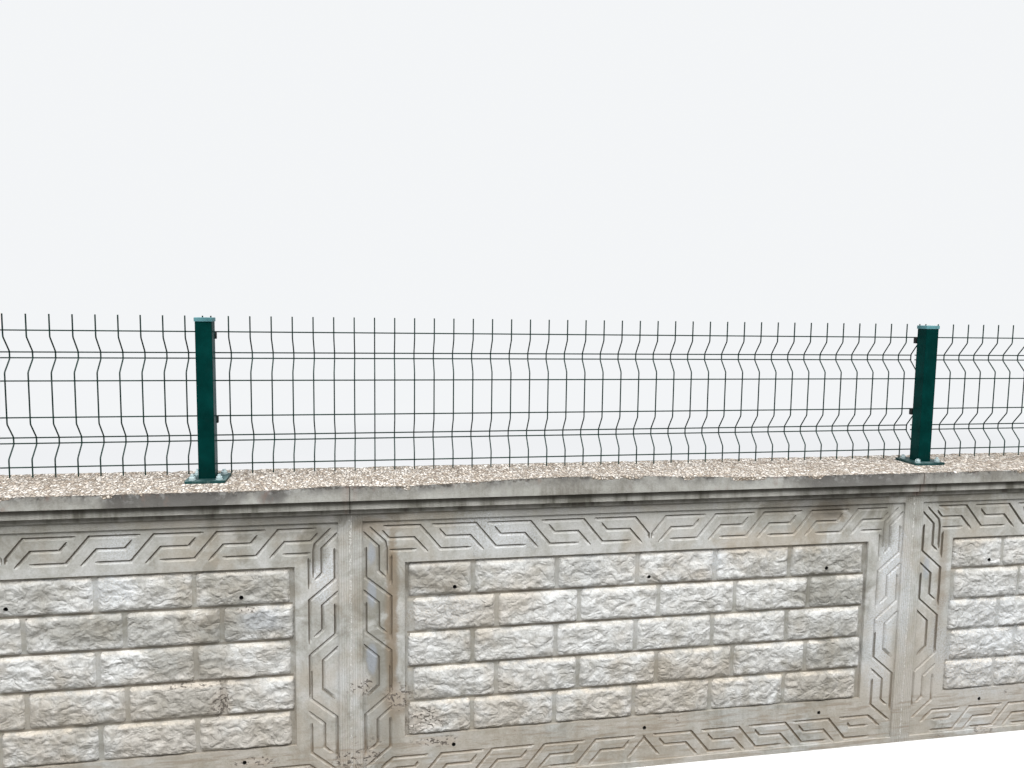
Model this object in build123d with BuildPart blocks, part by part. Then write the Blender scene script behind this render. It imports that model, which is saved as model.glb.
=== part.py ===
from build123d import *
import os

# Panel fence on a cast ornamental wall. Millimetres, +Z up.
# The fence runs along X. The origin is at the middle of the wall's length and depth, on the ground.
# The -Y side is the garden side, and the folds of the mesh panels point to +Y.

# Wall bays, all cast in one mould
wall_bays = 5
bay_length = 1980.0
bay_height = 930.0
frame_depth = 230.0
border_side = 37.0
border_top = 27.0
border_bottom = 20.0
border_proud = 6.0
reeds = 3
reed_step = 2.0
frame_side = 170.0
frame_top = 166.0
frame_bottom = 179.0
field_sunk = 12.0

# Coping, cast in lengths that end over the bays' joints
fascia_height = 42.0
fascia_width = 320.0
band_height = 31.0
band_width = 284.0
foot_height = 17.0
foot_width = 256.0

# Fence posts, caps and base plates
fence_bays = 3
post_spacing = 2535.0
fence_off_middle = -165.0
post_line_y = 10.0
post_size = 50.0
post_wall = 2.0
post_corner = 3.0
post_corner_inside = 1.0
post_above_coping = 509.0
cap_wall = 2.0
cap_rim = 12.0
cap_top = 3.0
cap_clearance = 0.25
plate_size = 120.0
plate_thick = 8.0
plate_corner = 6.0
anchor_spacing = 80.0
anchor_hole = 12.0

# Mesh panels: triangular bars with the section area of the round wire
panel_gap = 25.0
levels_per_fold = 4
wire_pitch = 65.0
wire_width = 5.6
wire_depth = 5.4
weld_sunk = 1.3
wire_overhang = 5.0
tip_gap = 12.0
prong = 32.0
edge_to_pair = 68.5
pair_gap = 18.0
fold_gap = 113.0
top_prong = 50.0
fold_depth = 38.0
fold_above_wire = 26.0
fold_below_wire = 20.0
nose_margin = 2.5
panel_clearance = 0.3

# Panel clips on the back of each post
clip_back = 6.0
clip_wall = 15.5
clip_below_wire = 3.0
clip_above_fold = 2.5
clip_clearance = 0.3

wall_length = wall_bays * bay_length
wall_start = -wall_length / 2
coping_height = fascia_height + band_height + foot_height
coping_top = bay_height + coping_height
first_post = fence_off_middle - fence_bays * post_spacing / 2
post_places = [first_post + i * post_spacing for i in range(fence_bays + 1)]
post_height = post_above_coping - plate_thick

# Upright wires of a panel: an even row between its two end wires
panel_width = post_spacing - panel_gap
row_wires = int(panel_width // wire_pitch)
row_start = (panel_width - (row_wires - 1) * wire_pitch) / 2

# Heights of the level wires over the lower tips, and the side outline of a folded wire
level_heights = [prong]
for rise in (edge_to_pair, pair_gap, edge_to_pair, fold_gap, edge_to_pair, pair_gap, edge_to_pair):
    level_heights.append(level_heights[-1] + rise)
panel_height = level_heights[-1] + top_prong
tip_z = coping_top + tip_gap
cap_outside = post_size + 2 * cap_clearance + 2 * cap_wall
wire_flat_y = post_line_y + cap_outside / 2 + panel_clearance
clip_height = fold_below_wire - clip_below_wire - clip_above_fold

os.makedirs("parts", exist_ok=True)


def write_piece(builder, label):
    builder.part.label = label
    export_step(builder.part, "parts/" + label + ".step")


# Rectangle on a bay's face, inside the given margins
def margin_rectangle(side, top, bottom, mode=Mode.ADD):
    with Locations((0, (bottom - top) / 2)):
        Rectangle(bay_length - 2 * side, bay_height - top - bottom, mode=mode)


# One wall bay: core, bordered frame and sunk field on both faces
def make_wall_bay(x_start, label):
    x_mid = x_start + bay_length / 2
    with BuildPart() as bay:
        with BuildSketch(Plane.XY):
            with Locations((x_mid, 0)):
                Rectangle(bay_length, frame_depth)
        extrude(amount=bay_height)
        for side in (-1, 1):
            face_plane = Plane(
                origin=(x_mid, side * frame_depth / 2, bay_height / 2),
                x_dir=(-side, 0, 0),
                z_dir=(0, side, 0),
            )
            for reed in range(reeds):
                share = reed / reeds
                with BuildSketch(face_plane):
                    margin_rectangle(border_side * share, border_top * share, border_bottom * share)
                    margin_rectangle(border_side, border_top, border_bottom, Mode.SUBTRACT)
                extrude(amount=border_proud - reed * reed_step)
            with BuildSketch(face_plane):
                margin_rectangle(frame_side, frame_top, frame_bottom)
            extrude(amount=-field_sunk, mode=Mode.SUBTRACT)
    write_piece(bay, label)


# One length of coping: fascia and two stepped bands in one profile
def make_coping(x_start, label):
    with BuildPart() as coping:
        with BuildSketch(Plane.YZ.offset(x_start)):
            with BuildLine():
                z_foot = bay_height
                z_band = z_foot + foot_height
                z_fascia = z_band + band_height
                Polyline(
                    (0, z_foot),
                    (foot_width / 2, z_foot),
                    (foot_width / 2, z_band),
                    (band_width / 2, z_band),
                    (band_width / 2, z_fascia),
                    (fascia_width / 2, z_fascia),
                    (fascia_width / 2, coping_top),
                    (0, coping_top),
                )
                mirror(about=Plane.YZ)
            make_face()
        extrude(amount=bay_length)
    write_piece(coping, label)


# Base plate with its four anchor holes
def make_base_plate(x, label):
    with BuildPart() as plate:
        with BuildSketch(Plane.XY.offset(coping_top)):
            with Locations((x, post_line_y)):
                RectangleRounded(plate_size, plate_size, plate_corner)
            with Locations((x, post_line_y)):
                with GridLocations(anchor_spacing, anchor_spacing, 2, 2):
                    Circle(anchor_hole / 2, mode=Mode.SUBTRACT)
        extrude(amount=plate_thick)
    write_piece(plate, label)


# Square tube standing on its base plate
def make_post(x, label):
    with BuildPart() as post:
        with BuildSketch(Plane.XY.offset(coping_top + plate_thick)):
            with Locations((x, post_line_y)):
                RectangleRounded(post_size, post_size, post_corner)
                inside = post_size - 2 * post_wall
                RectangleRounded(inside, inside, post_corner_inside, mode=Mode.SUBTRACT)
        extrude(amount=post_height)
    write_piece(post, label)


# Cap that slips over the tube's end and rests on it
def make_post_cap(x, label):
    tube_top = coping_top + post_above_coping
    inside = post_size + 2 * cap_clearance
    with BuildPart() as cap:
        with BuildSketch(Plane.XY.offset(tube_top - cap_rim + cap_top)):
            with Locations((x, post_line_y)):
                RectangleRounded(cap_outside, cap_outside, post_corner)
        extrude(amount=cap_rim)
        with BuildSketch(Plane.XY.offset(tube_top)):
            with Locations((x, post_line_y)):
                Rectangle(inside, inside)
        extrude(amount=-cap_rim, mode=Mode.SUBTRACT)
        chamfer(cap.faces().sort_by(Axis.Z)[-1].edges(), length=cap_wall / 2)
    write_piece(cap, label)


def fold_points(first_level):
    fold_levels = level_heights[first_level:first_level + levels_per_fold]
    lower_edge, lower_nose, upper_nose, upper_edge = fold_levels
    return [
        (0, lower_edge + fold_above_wire),
        (fold_depth, lower_nose - nose_margin),
        (fold_depth, upper_nose + nose_margin),
        (0, upper_edge - fold_below_wire),
    ]


# One mesh panel: folded upright wires fused to straight level wires, ridge into ridge
def make_mesh_panel(x_left, label):
    route = [(0, 0)] + fold_points(0) + fold_points(levels_per_fold) + [(0, panel_height)]
    wire_places = [x_left] + [x_left + row_start + i * wire_pitch for i in range(row_wires)]
    wire_places.append(x_left + panel_width)
    ridge_y = wire_flat_y + wire_depth
    level_ridge_y = ridge_y - weld_sunk

    with BuildPart() as upright:
        with BuildLine() as route_line:
            Polyline(*[(0, wire_flat_y + y, tip_z + z) for y, z in route])
        with BuildSketch(Plane.XY.offset(tip_z)):
            with BuildLine():
                Polyline(
                    (-wire_width / 2, wire_flat_y),
                    (wire_width / 2, wire_flat_y),
                    (0, ridge_y),
                    (-wire_width / 2, wire_flat_y),
                )
            make_face()
        sweep(path=route_line.wire(), transition=Transition.RIGHT)

    with BuildPart() as panel:
        for level, height in enumerate(level_heights):
            at_nose = 0 < level % levels_per_fold < levels_per_fold - 1
            out = level_ridge_y + (fold_depth if at_nose else 0)
            z = tip_z + height
            with BuildSketch(Plane.YZ.offset(x_left - wire_overhang)):
                with BuildLine():
                    Polyline(
                        (out, z),
                        (out + wire_depth, z - wire_width / 2),
                        (out + wire_depth, z + wire_width / 2),
                        (out, z),
                    )
                make_face()
            extrude(amount=panel_width + 2 * wire_overhang)
        with Locations(*[(x, 0, 0) for x in wire_places]):
            add(upright.part)
    write_piece(panel, label)


# Two clamps on the back of a post, each over the end wires of both panels
def make_panel_clips(x, label):
    post_back = post_line_y + post_size / 2
    groove_out = panel_gap / 2 + wire_width / 2 + clip_clearance
    groove_in = groove_out - wire_width - 2 * clip_clearance
    groove_deep = wire_flat_y + wire_depth + clip_clearance
    back = groove_deep + clip_back
    with BuildPart() as clips:
        for top_wire in level_heights[levels_per_fold - 1::levels_per_fold]:
            top = tip_z + top_wire - clip_below_wire
            with BuildSketch(Plane.XY.offset(top)):
                with BuildLine():
                    Polyline(
                        (x, post_back),
                        (x + groove_in, post_back),
                        (x + groove_in, groove_deep),
                        (x + groove_out, groove_deep),
                        (x + groove_out, post_back),
                        (x + groove_out + clip_wall, post_back),
                        (x + groove_out + clip_wall, back),
                        (x, back),
                    )
                    mirror(about=Plane.YZ.offset(x))
                make_face()
            extrude(amount=-clip_height)
    write_piece(clips, label)


for number in range(1, wall_bays + 1):
    bay_start = wall_start + (number - 1) * bay_length
    make_wall_bay(bay_start, f"wall_bay_{number}")
    make_coping(bay_start, f"coping_{number}")

for number, x in enumerate(post_places, start=1):
    make_base_plate(x, f"base_plate_{number}")
    make_post(x, f"post_{number}")
    make_post_cap(x, f"post_cap_{number}")
    make_panel_clips(x, f"panel_clips_{number}")

for number in range(1, fence_bays + 1):
    panel_left = post_places[number - 1] + panel_gap / 2
    make_mesh_panel(panel_left, f"mesh_panel_{number}")
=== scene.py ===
import math
import random

import bmesh
import bpy
from mathutils import Matrix, Vector, noise


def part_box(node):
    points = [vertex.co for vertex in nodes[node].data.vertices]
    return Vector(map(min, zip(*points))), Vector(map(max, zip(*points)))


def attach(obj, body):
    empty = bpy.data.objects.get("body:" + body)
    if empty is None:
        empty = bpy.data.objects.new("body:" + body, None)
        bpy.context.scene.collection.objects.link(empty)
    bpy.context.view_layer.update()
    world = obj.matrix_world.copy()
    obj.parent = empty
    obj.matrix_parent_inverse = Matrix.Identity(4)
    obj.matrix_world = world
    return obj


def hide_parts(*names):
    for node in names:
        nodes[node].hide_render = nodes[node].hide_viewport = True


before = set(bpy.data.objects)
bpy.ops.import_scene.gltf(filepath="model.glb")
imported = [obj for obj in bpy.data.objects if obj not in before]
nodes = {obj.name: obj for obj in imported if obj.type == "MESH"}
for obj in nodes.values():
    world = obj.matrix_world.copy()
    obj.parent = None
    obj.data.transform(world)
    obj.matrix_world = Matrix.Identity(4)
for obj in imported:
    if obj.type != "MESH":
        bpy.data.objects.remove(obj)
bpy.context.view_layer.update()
mm = 0.001
random.seed(5)

# Unseeded, noise_vector draws its offsets from the clock, so a fixed seed is set. The seed
# is the checked export's.
noise.seed_set(1795727793)

print("stage: camera, light and floor")

# The camera stands in front of the wall, a little to the left of the middle bay
cameraSettings = {
    "place": (-0.9185, -2.5191, 1.5678),
    "turnRight": 10.306,
    "lookDown": 5.492,
    "roll": 0.793,
    "lens": 27.02,
    "sensorWidth": 36.0,
}


def makeCamera(settings):
    turn = math.radians(settings["turnRight"])
    down = math.radians(settings["lookDown"])
    roll = math.radians(settings["roll"])
    ahead = Vector((math.sin(turn) * math.cos(down), math.cos(turn) * math.cos(down), -math.sin(down)))
    level = Vector((math.cos(turn), -math.sin(turn), 0))
    up = level.cross(ahead)
    right = level * math.cos(roll) + up * math.sin(roll)
    top = up * math.cos(roll) - level * math.sin(roll)
    data = bpy.data.cameras.new("camera")
    data.lens = settings["lens"]
    data.sensor_width = settings["sensorWidth"]
    camera = bpy.data.objects.new("camera", data)
    bpy.context.scene.collection.objects.link(camera)
    axes = Matrix((right, top, -ahead)).transposed().to_4x4()
    camera.matrix_world = Matrix.Translation(settings["place"]) @ axes
    bpy.context.scene.camera = camera


makeCamera(cameraSettings)


# A shader value that takes part in sums
class Signal:
    def __init__(self, finish, socket):
        self.finish = finish
        self.socket = socket

    def maths(self, operation, first, second=0.0):
        return self.finish.add("Math", {"operation": operation}, {0: first, 1: second})

    def __add__(self, other):
        return self.maths("ADD", self, other)

    def __radd__(self, other):
        return self.maths("ADD", other, self)

    def __sub__(self, other):
        return self.maths("SUBTRACT", self, other)

    def __rsub__(self, other):
        return self.maths("SUBTRACT", other, self)

    def __mul__(self, other):
        return self.maths("MULTIPLY", self, other)

    def __rmul__(self, other):
        return self.maths("MULTIPLY", other, self)

    def __truediv__(self, other):
        return self.maths("DIVIDE", self, other)

    def __rtruediv__(self, other):
        return self.maths("DIVIDE", other, self)

    def __pow__(self, other):
        return self.maths("POWER", self, other)

    def __abs__(self):
        return self.maths("ABSOLUTE", self)

    def most(self, other):
        return self.maths("MAXIMUM", self, other)

    def least(self, other):
        return self.maths("MINIMUM", self, other)

    def sine(self):
        return self.maths("SINE", self)

    def bounce(self, span):
        return self.maths("PINGPONG", self, span)

    def wrapped(self, span):
        return self.maths("FLOORED_MODULO", self, span)


# One material, or the world, and the nodes that make it
class Finish:
    def __init__(self, name, owner=None):
        self.material = owner or bpy.data.materials.new(name)
        self.material.use_nodes = True
        self.tree = self.material.node_tree
        self.tree.nodes.clear()
        self.place = self.add("TexCoord", out="Object")
        parts = self.add("SeparateXYZ", values={0: self.place}, out=None)
        self.x, self.y, self.z = [Signal(self, socket) for socket in parts.outputs]

    def add(self, kind, settings=None, values=None, out=0):
        node = self.tree.nodes.new("ShaderNode" + kind)
        for key, value in (settings or {}).items():
            if key == "stops":
                self.setStops(node.color_ramp, value)
            else:
                setattr(node, key, value)
        for key, value in (values or {}).items():
            if isinstance(value, Signal):
                self.tree.links.new(value.socket, node.inputs[key])
            else:
                node.inputs[key].default_value = value
        return node if out is None else Signal(self, node.outputs[out])

    def setStops(self, ramp, stops):
        while len(ramp.elements) < len(stops):
            ramp.elements.new(1.0)
        for element, (position, colour) in zip(ramp.elements, stops):
            element.position = position
            element.color = (*colour, 1)

    def ramp(self, signal, stops):
        return self.add("ValToRGB", {"stops": stops}, {0: signal})

    def soft(self, signal, low, high):
        values = {"Value": signal, "From Min": low, "From Max": high}
        return self.add("MapRange", {"interpolation_type": "SMOOTHSTEP"}, values)

    def spread(self, size, stretch, shift):
        scale = tuple(1 / (size * part) for part in stretch)
        return self.add("Mapping", values={"Vector": self.place, "Location": shift, "Scale": scale})

    def noise(self, size, detail=3.0, rough=0.55, stretch=(1, 1, 1), shift=(0, 0, 0), warp=0.0):
        spot = self.spread(size, stretch, shift)
        values = {"Vector": spot, "Scale": 1.0, "Detail": detail, "Roughness": rough, "Distortion": warp}
        return self.add("TexNoise", values=values)

    def cells(self, size, feature="F1", out="Distance", stretch=(1, 1, 1)):
        spot = self.spread(size, stretch, (0, 0, 0))
        return self.add("TexVoronoi", {"feature": feature}, {"Vector": spot, "Scale": 1.0}, out)

    def first(self, colour):
        return self.add("SeparateColor", values={0: colour})

    def blend(self, share, first, second):
        first = (*first, 1) if isinstance(first, tuple) else first
        second = (*second, 1) if isinstance(second, tuple) else second
        return self.add("Mix", {"data_type": "RGBA"}, {0: share, 6: first, 7: second}, 2)

    # A ragged blot on the face of the wall, at a middle and with half sizes in metres
    def blot(self, middle, reach, ragged, soft=0.45):
        along = (self.x - middle[0]) / reach[0]
        upright = (self.z - middle[1]) / reach[1]
        far = (along * along + upright * upright) ** 0.5
        return 1 - self.soft(far + (ragged - 0.5) * 2.2, 1 - soft, 1 + soft)

    def close(self, colour, roughness, height=None, depth=0.001, shine=0.5):
        values = {"Base Color": colour, "Roughness": roughness, "Specular IOR Level": shine}
        if height is not None:
            bump = {"Height": height, "Distance": depth, "Strength": 1.0}
            values["Normal"] = self.add("Bump", values=bump)
        shader = self.add("BsdfPrincipled", values=values)
        self.add("OutputMaterial", values={"Surface": shader}, out=None)
        return self.material


# Studio: a pale floor that fades into the backdrop, a sky brighter from above, one broad lamp
studioSettings = {
    "floorSize": 80.0,
    "floorColour": (0.80, 0.80, 0.79),
    "floorBounce": (0.20, 0.19, 0.17),
    "floorBehind": (0.62, 0.63, 0.64),
    "floorFade": (3.5, 9.0),
    "backdrop": (0.90, 0.915, 0.93),
    "skyAbove": (0.98, 1.0, 1.05),
    "skyBelow": (0.22, 0.22, 0.22),
    "lampSize": (13.0, 2.6),
    "lampPlace": (-0.6, -2.5, 4.6),
    "lampAim": (-0.4, 0.0, 0.6),
    "lampPower": 560.0,
}


def makeFloor(s):
    bm = bmesh.new()
    bmesh.ops.create_grid(bm, x_segments=1, y_segments=1, size=s["floorSize"] / 2)
    mesh = bpy.data.meshes.new("floor")
    bm.to_mesh(mesh)
    bm.free()
    floor = bpy.data.objects.new("floor", mesh)
    bpy.context.scene.collection.objects.link(floor)
    f = Finish("floor")
    seen = f.add("LightPath", out="Is Camera Ray")
    far = (f.x * f.x * 0.2 + f.y * f.y) ** 0.5
    fade = f.soft(far, *s["floorFade"]) * seen
    unseen = f.blend(f.soft(f.y, 0.5, 3.0), s["floorBounce"], s["floorBehind"])
    ground = f.add("BsdfDiffuse", values={"Color": f.blend(seen, unseen, s["floorColour"])})
    glow = f.add("Emission", values={"Color": (*s["backdrop"], 1)})
    mixed = f.add("MixShader", values={0: fade, 1: ground, 2: glow})
    f.add("OutputMaterial", values={0: mixed}, out=None)
    mesh.materials.append(f.material)


def makeSky(s):
    world = bpy.data.worlds.new("studio")
    bpy.context.scene.world = world
    f = Finish("studio", world)
    paths = f.add("LightPath", out=None).outputs
    seen = Signal(f, paths["Is Camera Ray"]).most(Signal(f, paths["Is Transmission Ray"]))
    way = f.add("SeparateXYZ", values={0: f.add("TexCoord", out="Generated")}, out=2)
    tint = f.blend(f.soft(way, -0.20, 0.85), s["skyBelow"], s["skyAbove"])
    sky = f.add("Background", values={"Color": tint})
    backdrop = f.add("Background", values={"Color": (*s["backdrop"], 1)})
    mixed = f.add("MixShader", values={0: seen, 1: sky, 2: backdrop})
    f.add("OutputWorld", values={0: mixed}, out=None)
    bpy.context.scene.view_settings.view_transform = "Standard"


def makeLamp(s):
    data = bpy.data.lights.new("broadLamp", "AREA")
    data.shape = "RECTANGLE"
    data.size, data.size_y = s["lampSize"]
    data.energy = s["lampPower"]
    lamp = bpy.data.objects.new("broadLamp", data)
    bpy.context.scene.collection.objects.link(lamp)
    lamp.location = s["lampPlace"]
    aim = Vector(s["lampAim"]) - lamp.location
    lamp.rotation_euler = aim.to_track_quat("-Z", "Y").to_euler()


makeFloor(studioSettings)
makeSky(studioSettings)
makeLamp(studioSettings)

print("stage: finishes")

# Cast stone of the wall: one recipe, tuned for the frame, the pattern's shaded edges and the blocks
frameLook = {
    "name": "frameStone",
    "light": (0.56, 0.565, 0.55), "mid": (0.43, 0.43, 0.40), "dark": (0.28, 0.27, 0.235),
    "grimeAndShade": 0.0, "ochre": 0.50, "topShade": 0.30, "reeds": 1.0, "crinkle": 0.0, "salt": 1.0,
}
edgeLook = {
    "name": "shadedEdge",
    "light": (0.34, 0.33, 0.30), "mid": (0.24, 0.225, 0.195), "dark": (0.15, 0.135, 0.11),
    "grimeAndShade": 0.65, "ochre": 0.35, "topShade": 0.40, "reeds": 0.0, "crinkle": 0.0, "salt": 0.3,
}
blockLook = {
    "name": "blockStone",
    "light": (0.68, 0.69, 0.68), "mid": (0.575, 0.575, 0.555), "dark": (0.43, 0.42, 0.385),
    "grimeAndShade": 0.0, "ochre": 0.5, "topShade": 0.20, "reeds": 0.0, "crinkle": 1.0, "salt": 1.0,
}
stoneMarks = {
    "roughness": 0.93, "bumpDepth": 0.0013,
    "warm": (0.42, 0.36, 0.28),
    "brown": (0.235, 0.18, 0.12),
    "shade": (0.20, 0.19, 0.155),
    "soot": (0.065, 0.058, 0.045),
    "salt": (0.63, 0.665, 0.70),
    "bluish": (0.33, 0.37, 0.43),
    "pit": (0.10, 0.085, 0.07),
    "rowShadowAndDirt": (0.13, 0.105, 0.075),
    "rowTopHighlight": (0.70, 0.62, 0.50),
    "flakes": (0.68, 0.67, 0.64),
    "blots": [
        ("salt", 0.55, (-0.53, 0.845), (0.12, 0.06)),
        ("salt", 0.50, (0.24, 0.715), (0.035, 0.055)),
        ("salt", 0.50, (-0.21, 0.70), (0.03, 0.05)),
        ("salt", 0.80, (0.915, 0.71), (0.045, 0.12)),
        ("salt", 0.45, (0.90, 0.50), (0.05, 0.12)),
        ("salt", 0.60, (-1.69, 0.715), (0.07, 0.05)),
        ("salt", 0.50, (-1.67, 0.84), (0.06, 0.05)),
        ("salt", 0.75, (-1.075, 0.74), (0.04, 0.09)),
        ("shade", 0.45, (0.66, 0.70), (0.16, 0.055)),
        ("shade", 0.65, (0.70, 0.585), (0.15, 0.060)),
        ("shade", 0.40, (0.66, 0.46), (0.10, 0.05)),
        ("shade", 0.55, (0.68, 0.35), (0.12, 0.055)),
        ("shade", 0.50, (-0.885, 0.27), (0.06, 0.20)),
        ("shade", 0.35, (-0.92, 0.70), (0.06, 0.16)),
        ("shade", 0.30, (-0.28, 0.70), (0.16, 0.05)),
        ("shade", 0.35, (0.64, 0.23), (0.10, 0.06)),
        ("shade", 0.40, (0.60, 0.85), (0.30, 0.05)),
        ("shade", 0.35, (-1.95, 0.70), (0.12, 0.06)),
        ("shade", 0.40, (-1.31, 0.70), (0.14, 0.05)),
        ("shade", 0.45, (-1.35, 0.59), (0.16, 0.05)),
        ("shade", 0.45, (-1.50, 0.48), (0.12, 0.05)),
        ("shade", 0.35, (-1.47, 0.35), (0.12, 0.05)),
        ("shade", 0.75, (0.88, 0.82), (0.04, 0.07)),
        ("shade", 0.75, (-1.10, 0.82), (0.035, 0.06)),
        ("brown", 0.85, (-0.862, 0.58), (0.018, 0.26)),
        ("brown", 0.55, (-0.855, 0.30), (0.035, 0.06)),
        ("brown", 0.45, (-0.90, 0.885), (0.09, 0.03)),
        ("brown", 0.35, (-0.72, 0.71), (0.08, 0.05)),
        ("brown", 0.50, (0.66, 0.875), (0.07, 0.04)),
        ("brown", 0.45, (1.125, 0.66), (0.02, 0.20)),
        ("brown", 0.35, (-1.42, 0.61), (0.07, 0.03)),
        ("shade", 0.45, (-0.915, 0.785), (0.032, 0.070)),
        ("shade", 0.55, (-0.915, 0.655), (0.032, 0.070)),
        ("shade", 0.55, (-0.915, 0.445), (0.032, 0.090)),
        ("bluish", 0.60, (-0.925, 0.795), (0.013, 0.036)),
        ("bluish", 0.60, (-0.925, 0.665), (0.013, 0.040)),
        ("bluish", 0.60, (-0.925, 0.450), (0.014, 0.045)),
        ("bluish", 0.50, (1.060, 0.66), (0.013, 0.045)),
        ("bluish", 0.40, (-1.26, 0.60), (0.06, 0.04)),
        ("warm", 0.50, (0.45, 0.78), (0.20, 0.05)),
        # Painted shade and soot under the coping
        ("soot", 0.45, (0.66, 0.905), (0.24, 0.04)),
        ("soot", 0.60, (0.67, 0.905), (0.05, 0.05)),
        ("soot", 0.35, (-1.20, 0.905), (0.22, 0.04)),
        ("soot", 0.40, (-0.93, 0.920), (0.12, 0.03)),
        ("soot", 0.25, (1.10, 0.92), (0.08, 0.03)),
        ("shade", 0.35, (-1.84, 0.59), (0.16, 0.05)),
        ("shade", 0.40, (-1.60, 0.59), (0.25, 0.05)),
        ("shade", 0.35, (-0.70, 0.70), (0.15, 0.05)),
        ("salt", 0.40, (-0.70, 0.59), (0.12, 0.05)),
        ("salt", 0.55, (0.88, 0.33), (0.05, 0.14)),
        ("salt", 0.50, (0.975, 0.55), (0.018, 0.22)),
        ("salt", 0.55, (1.35, 0.35), (0.22, 0.20)),
    ],
    "stones": (0.55, 0.475, 0.40),
    "pitBlots": [
        ((-0.963, 0.366), (0.040, 0.030)),
        ((-0.842, 0.316), (0.035, 0.040)),
        ((-0.755, 0.228), (0.060, 0.035)),
        ((-0.975, 0.125), (0.070, 0.030)),
        ((-0.715, 0.155), (0.070, 0.015)),
        ((-1.46, 0.40), (0.10, 0.012)),
        ((-1.385, 0.345), (0.030, 0.050)),
        ((-1.286, 0.137), (0.060, 0.015)),
        ((-1.30, 0.630), (0.030, 0.010)),
    ],
}

# Places on the wall in metres: across from its left end or a joint of two bays, up from the ground
wallPlaces = {
    "halfLength": 4.95, "bay": 1.98, "halfBay": 0.99,
    "fieldSide": (0.176, 0.180), "fieldFoot": (0.178, 0.180), "fieldTop": (0.762, 0.766),
    "rowsFrom": 0.179, "rowHeight": 0.117,
    "lowestStrip": (0.16, 0.19), "grooves": (0.1100, 0.1144),
    "pilaster": (0.036, 0.040), "reedPitch": 0.0074,
}


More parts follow.
